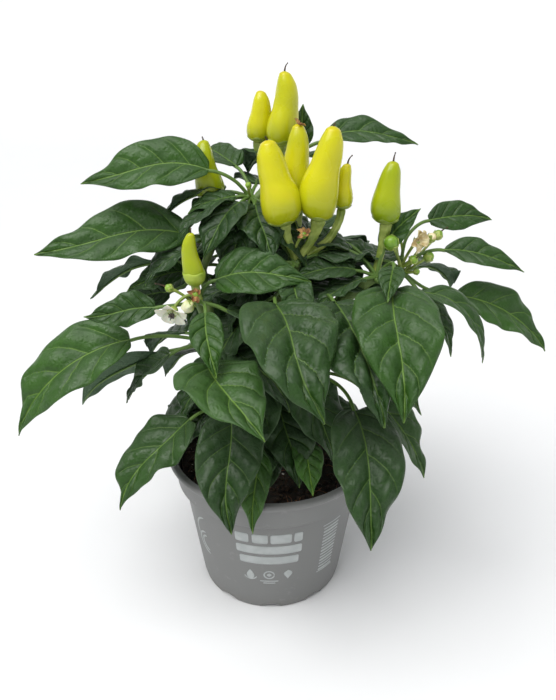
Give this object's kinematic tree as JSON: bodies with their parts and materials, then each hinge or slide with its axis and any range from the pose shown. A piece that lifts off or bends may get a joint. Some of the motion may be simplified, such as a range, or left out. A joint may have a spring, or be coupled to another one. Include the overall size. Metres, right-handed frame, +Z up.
{
  "type": "potted pepper plant",
  "caption": "Bushy ornamental pepper plant with upright yellow fruits and broad drooping leaves, in a tapered grey plastic nursery pot with a rolled rim.",
  "frame": {"origin": "centre of the pot's flat underside, on the surface it stands on", "axes": "+Z up along the pot's axis, -Y towards the front, +X to the right seen from the front"},
  "size_m": [0.3057, 0.2315, 0.3114],
  "materials": {
    "pot_plastic": "matte mid-grey moulded polypropylene with lighter grey printed marks",
    "potting_soil": null,
    "stem_bark": "olive green stem, browner and woodier towards the soil",
    "leaf_green": null,
    "leaf_stalk": null,
    "pepper_yellow": null,
    "pepper_lime": null,
    "fruit_stalk": null,
    "petal_white": null,
    "withered_petal": null,
    "fruitlet_green": null
  },
  "bodies": {
    "root": {"pot": "pot_plastic", "soil": "potting_soil", "stem": "stem_bark", "leaf_upper_left": "leaf_green", "leaf_long_left": "leaf_green", "leaf_behind_upper_left": "leaf_green", "leaf_twisted_left": "leaf_green", "leaf_dark_left": "leaf_green", "leaf_small_left": "leaf_green", "leaf_drooping_left": "leaf_green", "leaf_edge_left": "leaf_green", "leaf_sideways_left": "leaf_green", "leaf_narrow_front": "leaf_green", "leaf_bright_front": "leaf_green", "leaf_low_left": "leaf_green", "leaf_low_left_back": "leaf_green", "leaf_low_front_left": "leaf_green", "leaf_low_front_narrow": "leaf_green", "leaf_low_front_dark": "leaf_green", "leaf_big_front": "leaf_green", "leaf_behind_front": "leaf_green", "leaf_under_peppers": "leaf_green", "leaf_left_of_peppers": "leaf_green", "leaf_upright_right": "leaf_green", "leaf_high_right": "leaf_green", "leaf_quilted_right": "leaf_green", "leaf_right_front": "leaf_green", "leaf_small_right_front": "leaf_green", "leaf_arched_right": "leaf_green", "leaf_far_right": "leaf_green", "leaf_thin_right": "leaf_green", "leaf_folded_right": "leaf_green", "leaf_behind_peppers": "leaf_green", "leaf_low_right_big": "leaf_green", "leaf_low_right_side": "leaf_green", "leaf_low_front_bright": "leaf_green", "leaf_low_right_back": "leaf_green", "leaf_back_left_high": "leaf_green", "leaf_back_high": "leaf_green", "leaf_back_right": "leaf_green", "leaf_back_low_left": "leaf_green", "leaf_back_low": "leaf_green", "leaf_back_low_right": "leaf_green", "pepper_top": "pepper_yellow", "pepper_top_left": "pepper_yellow", "pepper_top_back": "pepper_yellow", "pepper_front_left": "pepper_yellow", "pepper_middle": "pepper_yellow", "pepper_front_right": "pepper_yellow", "pepper_small_right": "pepper_yellow", "pepper_right": "pepper_lime", "pepper_left": "pepper_lime", "pepper_small_left": "pepper_lime", "flower_open": "petal_white", "bud_cream": "petal_white", "flower_withered": "withered_petal", "fruitlet_left": "fruitlet_green", "fruitlet_right": "fruitlet_green", "fruitlet_right_low": "fruitlet_green"}
  },
  "joints": []
}
